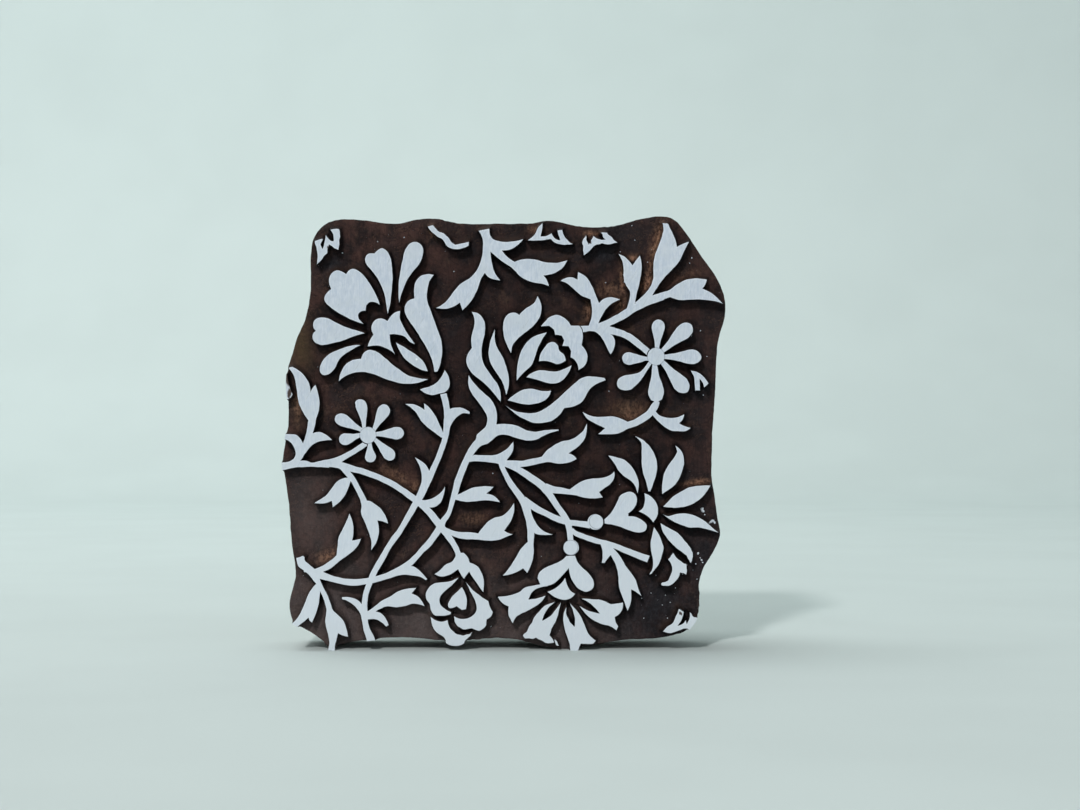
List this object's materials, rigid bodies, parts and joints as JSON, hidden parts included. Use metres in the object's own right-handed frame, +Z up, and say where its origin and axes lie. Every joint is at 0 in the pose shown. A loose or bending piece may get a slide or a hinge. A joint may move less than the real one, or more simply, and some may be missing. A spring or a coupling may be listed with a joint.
{
  "type": "wooden hand-printing block",
  "caption": "Thick wooden block with a wavy sawn outline, a floral trail carved in relief on its face for stamping patterns, and a grip bar on its back.",
  "frame": {"origin": "middle of the bounding box's foot: the level that the two lowest tips of the block stand on", "axes": "+Z up the pattern, +X to the right when facing the carved face, -Y the way the carved face looks"},
  "size_m": [0.127, 0.056, 0.1242],
  "materials": {
    "block_wood": "dark, ink-stained hardwood, worn matt in the carved ground",
    "handle_wood": "brown hardwood, rubbed smooth by the hand",
    "screw_steel": "plain steel, slightly dull",
    "chalk_coat": "the top of the carved wood under a thin matt chalk-white coat"
  },
  "bodies": {
    "root": {"carved_block": "block_wood", "handle_bar": "handle_wood", "handle_screws": "screw_steel", "tulip_coat": "chalk_coat", "rose_coat": "chalk_coat", "right_daisy_coat": "chalk_coat", "left_daisy_coat": "chalk_coat", "pointed_flower_coat": "chalk_coat", "bottom_flower_coat": "chalk_coat", "bud_coat": "chalk_coat", "top_branch_coat": "chalk_coat", "right_branch_coat": "chalk_coat", "stem_coat": "chalk_coat", "border_coat": "chalk_coat"}
  },
  "joints": []
}
